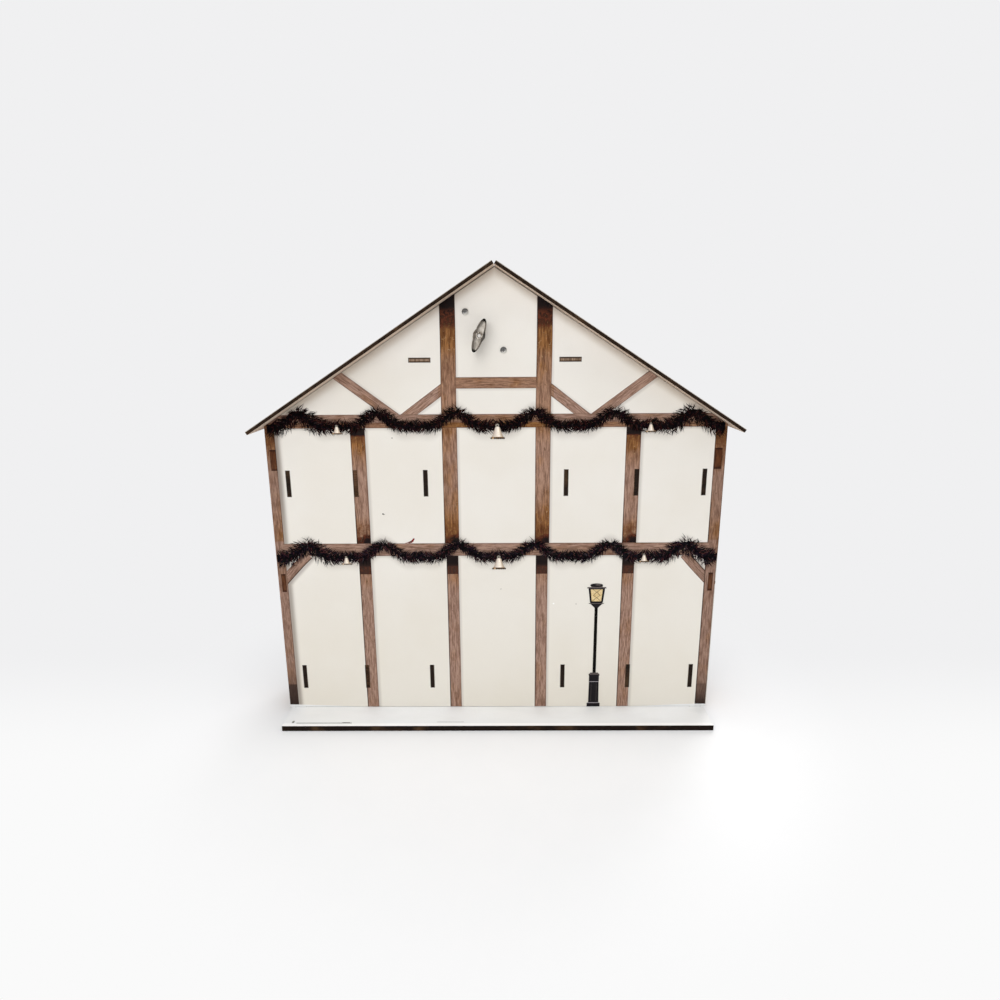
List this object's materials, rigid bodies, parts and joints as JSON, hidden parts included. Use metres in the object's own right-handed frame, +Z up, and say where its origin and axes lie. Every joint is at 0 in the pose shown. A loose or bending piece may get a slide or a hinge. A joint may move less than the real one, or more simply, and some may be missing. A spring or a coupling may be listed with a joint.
{
  "type": "musical advent calendar",
  "caption": "House-shaped advent calendar of laser-cut board with a gable roof, small hinged doors over gift compartments and a wind-up musical movement in its attic.",
  "frame": {"origin": "centre of the base board's underside, on the surface that it stands on", "axes": "+Z up; -Y is the back with the winding key; +Y is the front with the doors; +X is to the right seen from the back"},
  "size_m": [0.4096, 0.122, 0.3991],
  "materials": {
    "printed_board": "printed and lacquered board, brown cut edges",
    "snow_board": "white printed board, brown cut edges",
    "raw_board": "plain board",
    "door_board": "printed and lacquered board",
    "cast_zinc": "as cast",
    "steel": "nickel plated",
    "brass": "turned",
    "nylon": "moulded"
  },
  "bodies": {
    "house": {"base_board": "snow_board", "back_panel": "printed_board", "front_frame": "printed_board", "roof_left": "snow_board", "roof_right": "snow_board", "side_wall_left": "raw_board", "side_wall_right": "raw_board", "divider_1": "raw_board", "divider_2": "raw_board", "divider_3": "raw_board", "divider_4": "raw_board", "shelf_1_left": "raw_board", "shelf_1_right": "raw_board", "shelf_2": "raw_board", "shelf_3": "raw_board", "shelf_4": "raw_board", "loft_floor": "raw_board", "attic_deck": "raw_board", "movement_bedplate": "cast_zinc", "movement_screw_upper": "steel", "movement_screw_lower": "steel", "spring_housing": "cast_zinc", "mainspring": "steel", "cylinder_bearing_left": "cast_zinc", "cylinder_bearing_right": "cast_zinc", "music_comb": "steel", "comb_block": "cast_zinc", "governor_frame": "cast_zinc"},
    "door_01": {"door_01": "door_board"},
    "door_02": {"door_02": "door_board"},
    "door_03": {"door_03": "door_board"},
    "door_04": {"door_04": "door_board"},
    "door_05": {"door_05": "door_board"},
    "door_06": {"door_06": "door_board"},
    "door_07": {"door_07": "door_board"},
    "door_08": {"door_08": "door_board"},
    "door_09": {"door_09": "door_board"},
    "door_10": {"door_10": "door_board"},
    "door_11": {"door_11": "door_board"},
    "door_12": {"door_12": "door_board"},
    "door_13": {"door_13": "door_board"},
    "door_14": {"door_14": "door_board"},
    "door_15": {"door_15": "door_board"},
    "door_16": {"door_16": "door_board"},
    "door_17": {"door_17": "door_board"},
    "door_18": {"door_18": "door_board"},
    "door_19": {"door_19": "door_board"},
    "door_20": {"door_20": "door_board"},
    "door_21": {"door_21": "door_board"},
    "door_22": {"door_22": "door_board"},
    "door_23": {"door_23": "door_board"},
    "door_24": {"door_24": "door_board"},
    "winding": {"winding_arbor": "steel", "winding_key": "steel", "great_wheel": "brass"},
    "cylinder": {"music_cylinder": "brass"},
    "idler": {"idler_gear": "nylon"},
    "governor": {"governor_worm": "brass", "governor_fly": "nylon"}
  },
  "joints": [
    {"name": "door_01_hinge", "type": "hinge", "parent": "house", "child": "door_01", "pos_m": [0.175, 0.0285, 0.2285], "axis": [0, 0, -1], "range_deg": [0, 95]},
    {"name": "door_02_hinge", "type": "hinge", "parent": "house", "child": "door_02", "pos_m": [0.117, 0.0285, 0.2285], "axis": [0, 0, -1], "range_deg": [0, 95]},
    {"name": "door_03_hinge", "type": "hinge", "parent": "house", "child": "door_03", "pos_m": [0.0568, 0.0285, 0.2285], "axis": [0, 0, -1], "range_deg": [0, 95]},
    {"name": "door_04_hinge", "type": "hinge", "parent": "house", "child": "door_04", "pos_m": [-0.0638, 0.0285, 0.2285], "axis": [0, 0, -1], "range_deg": [0, 95]},
    {"name": "door_05_hinge", "type": "hinge", "parent": "house", "child": "door_05", "pos_m": [-0.124, 0.0285, 0.2285], "axis": [0, 0, -1], "range_deg": [0, 95]},
    {"name": "door_06_hinge", "type": "hinge", "parent": "house", "child": "door_06", "pos_m": [0.175, 0.0285, 0.1785], "axis": [0, 0, -1], "range_deg": [0, 95]},
    {"name": "door_07_hinge", "type": "hinge", "parent": "house", "child": "door_07", "pos_m": [0.117, 0.0285, 0.1785], "axis": [0, 0, -1], "range_deg": [0, 95]},
    {"name": "door_08_hinge", "type": "hinge", "parent": "house", "child": "door_08", "pos_m": [0.0568, 0.0285, 0.1785], "axis": [0, 0, -1], "range_deg": [0, 95]},
    {"name": "door_09_hinge", "type": "hinge", "parent": "house", "child": "door_09", "pos_m": [-0.0638, 0.0285, 0.1785], "axis": [0, 0, -1], "range_deg": [0, 95]},
    {"name": "door_10_hinge", "type": "hinge", "parent": "house", "child": "door_10", "pos_m": [-0.124, 0.0285, 0.1785], "axis": [0, 0, -1], "range_deg": [0, 95]},
    {"name": "door_11_hinge", "type": "hinge", "parent": "house", "child": "door_11", "pos_m": [0.175, 0.0285, 0.1285], "axis": [0, 0, -1], "range_deg": [0, 95]},
    {"name": "door_12_hinge", "type": "hinge", "parent": "house", "child": "door_12", "pos_m": [0.117, 0.0285, 0.1285], "axis": [0, 0, -1], "range_deg": [0, 95]},
    {"name": "door_13_hinge", "type": "hinge", "parent": "house", "child": "door_13", "pos_m": [0.0568, 0.0285, 0.1285], "axis": [0, 0, -1], "range_deg": [0, 95]},
    {"name": "door_14_hinge", "type": "hinge", "parent": "house", "child": "door_14", "pos_m": [-0.0638, 0.0285, 0.1285], "axis": [0, 0, -1], "range_deg": [0, 95]},
    {"name": "door_15_hinge", "type": "hinge", "parent": "house", "child": "door_15", "pos_m": [-0.124, 0.0285, 0.1285], "axis": [0, 0, -1], "range_deg": [0, 95]},
    {"name": "door_16_hinge", "type": "hinge", "parent": "house", "child": "door_16", "pos_m": [0.175, 0.0285, 0.0785], "axis": [0, 0, -1], "range_deg": [0, 95]},
    {"name": "door_17_hinge", "type": "hinge", "parent": "house", "child": "door_17", "pos_m": [0.117, 0.0285, 0.0785], "axis": [0, 0, -1], "range_deg": [0, 95]},
    {"name": "door_18_hinge", "type": "hinge", "parent": "house", "child": "door_18", "pos_m": [-0.0638, 0.0285, 0.0785], "axis": [0, 0, -1], "range_deg": [0, 95]},
    {"name": "door_19_hinge", "type": "hinge", "parent": "house", "child": "door_19", "pos_m": [-0.124, 0.0285, 0.0785], "axis": [0, 0, -1], "range_deg": [0, 95]},
    {"name": "door_20_hinge", "type": "hinge", "parent": "house", "child": "door_20", "pos_m": [0.175, 0.0285, 0.0285], "axis": [0, 0, -1], "range_deg": [0, 95]},
    {"name": "door_21_hinge", "type": "hinge", "parent": "house", "child": "door_21", "pos_m": [0.117, 0.0285, 0.0285], "axis": [0, 0, -1], "range_deg": [0, 95]},
    {"name": "door_22_hinge", "type": "hinge", "parent": "house", "child": "door_22", "pos_m": [-0.0638, 0.0285, 0.0285], "axis": [0, 0, -1], "range_deg": [0, 95]},
    {"name": "door_23_hinge", "type": "hinge", "parent": "house", "child": "door_23", "pos_m": [-0.124, 0.0285, 0.0285], "axis": [0, 0, -1], "range_deg": [0, 95]},
    {"name": "door_24_hinge", "type": "hinge", "parent": "house", "child": "door_24", "pos_m": [0.0568, 0.0285, 0.0535], "axis": [0, 0, -1], "range_deg": [0, 95]},
    {"name": "key_turn", "type": "hinge", "parent": "house", "child": "winding", "pos_m": [-0.0123, -0.03, 0.343], "axis": [0, 1, 0], "continuous": true},
    {"name": "cylinder_turn", "type": "hinge", "parent": "house", "child": "cylinder", "pos_m": [0.0091, -0.01106, 0.343], "axis": [1, 0, 0], "continuous": true},
    {"name": "idler_turn", "type": "hinge", "parent": "house", "child": "idler", "pos_m": [0.0208, -0.01106, 0.33365], "axis": [1, 0, 0], "continuous": true},
    {"name": "governor_spin", "type": "hinge", "parent": "house", "child": "governor", "pos_m": [0.0208, -0.01106, 0.33855], "axis": [0, 1, 0], "continuous": true}
  ],
  "couplings": [
    {"joint": "cylinder_turn", "follows": "key_turn", "ratio": 4},
    {"joint": "idler_turn", "follows": "key_turn", "ratio": -14.4},
    {"joint": "governor_spin", "follows": "key_turn", "ratio": -201.6}
  ]
}
